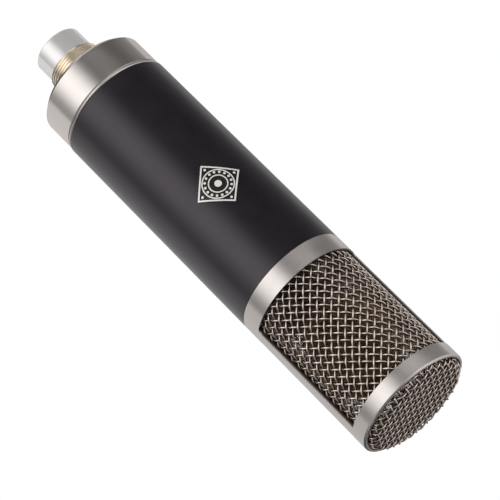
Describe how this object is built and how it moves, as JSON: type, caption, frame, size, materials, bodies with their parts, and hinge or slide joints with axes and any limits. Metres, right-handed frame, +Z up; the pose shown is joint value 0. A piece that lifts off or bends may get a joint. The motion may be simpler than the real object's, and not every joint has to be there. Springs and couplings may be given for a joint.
{
  "type": "studio microphone",
  "caption": "Side-address studio microphone: black cylindrical body, woven wire grille head, plated rings, threaded tail and three-pin connector.",
  "frame": {"origin": "centre of the tail cap's flat bottom face, the seat of the stand mount", "axes": "+Z up the body axis towards the grille; the front with the badge faces -Y"},
  "size_m": [0.044, 0.0446, 0.1938],
  "materials": {
    "satin_nickel": "satin turned nickel plate",
    "polished_nickel": "polished nickel plate",
    "bright_nickel": "bright nickel plate",
    "mesh_wire": "nickel-plated woven wire",
    "fine_mesh": "blackened fine woven wire",
    "black_lacquer": "satin black lacquer",
    "badge_metal": "stamped plate with dark enamel recesses",
    "thread_brass": "turned brass with a fine thread",
    "insert_plastic": "moulded black insulator",
    "contact_gold": "gold plated",
    "screw_steel": "machined steel",
    "chassis_metal": "machined alloy",
    "rubber_black": "soft black rubber",
    "board_laminate": "green solder mask",
    "film_red": "glossy box capacitor",
    "can_sleeve": "shrink sleeve on a can",
    "resistor_body": "lacquered resistor",
    "core_steel": "stacked laminations",
    "winding_tape": "amber tape over a winding",
    "capsule_brass": "lapped brass",
    "gold_film": "gold-sputtered film",
    "wire_jacket": "insulated hook-up wire"
  },
  "bodies": {
    "head_chassis": {"backplate_spacer": "capsule_brass", "board_screws": "screw_steel", "bracket_screws": "screw_steel", "capsule_leads": "wire_jacket", "capsule_saddle": "insert_plastic", "capsule_terminals": "contact_gold", "chassis_rail_left": "chassis_metal", "chassis_rail_right": "chassis_metal", "circuit_board": "board_laminate", "connector_insert": "insert_plastic", "connector_leads": "wire_jacket", "connector_pin_1": "contact_gold", "connector_pin_2": "contact_gold", "connector_pin_3": "contact_gold", "connector_sleeve": "bright_nickel", "electrolytic_capacitors": "can_sleeve", "end_mesh_inner": "fine_mesh", "end_mesh_outer": "mesh_wire", "film_capacitors": "film_red", "frame_screws": "screw_steel", "front_backplate": "capsule_brass", "front_clamp_ring": "capsule_brass", "front_diaphragm": "gold_film", "front_ring_screws": "capsule_brass", "grille_frame": "satin_nickel", "guide_o_ring": "rubber_black", "head_bulkhead": "chassis_metal", "inner_mesh_wrap": "fine_mesh", "insert_screw": "screw_steel", "mesh_retaining_ring": "chassis_metal", "outer_mesh_wrap": "mesh_wire", "rail_screws": "screw_steel", "rear_backplate": "capsule_brass", "rear_clamp_ring": "capsule_brass", "rear_diaphragm": "gold_film", "rear_ring_screws": "capsule_brass", "resistors": "resistor_body", "rubber_isolator": "rubber_black", "saddle_screw": "screw_steel", "stem_screws": "screw_steel", "tail_bulkhead": "chassis_metal", "threaded_stem": "thread_brass", "transformer_bracket": "chassis_metal", "transformer_core": "core_steel", "transformer_winding": "winding_tape", "transistor": "bright_nickel"},
    "body_sleeve": {"body_tube": "black_lacquer", "badge_plate": "badge_metal", "badge_pins": "badge_metal"},
    "end_cap": {"tail_cap": "polished_nickel", "cap_washer": "rubber_black"}
  },
  "joints": [
    {"name": "sleeve_slide", "type": "slide", "parent": "head_chassis", "child": "body_sleeve", "axis": [0, 0, -1], "range_m": [0, 0.005]},
    {"name": "cap_turn", "type": "hinge", "parent": "body_sleeve", "child": "end_cap", "pos_m": [0, 0, 0], "axis": [0, 0, -1], "range_deg": [0, 1800]}
  ],
  "couplings": [
    {"joint": "sleeve_slide", "follows": "cap_turn", "m_per_rad": 0.00015915}
  ]
}
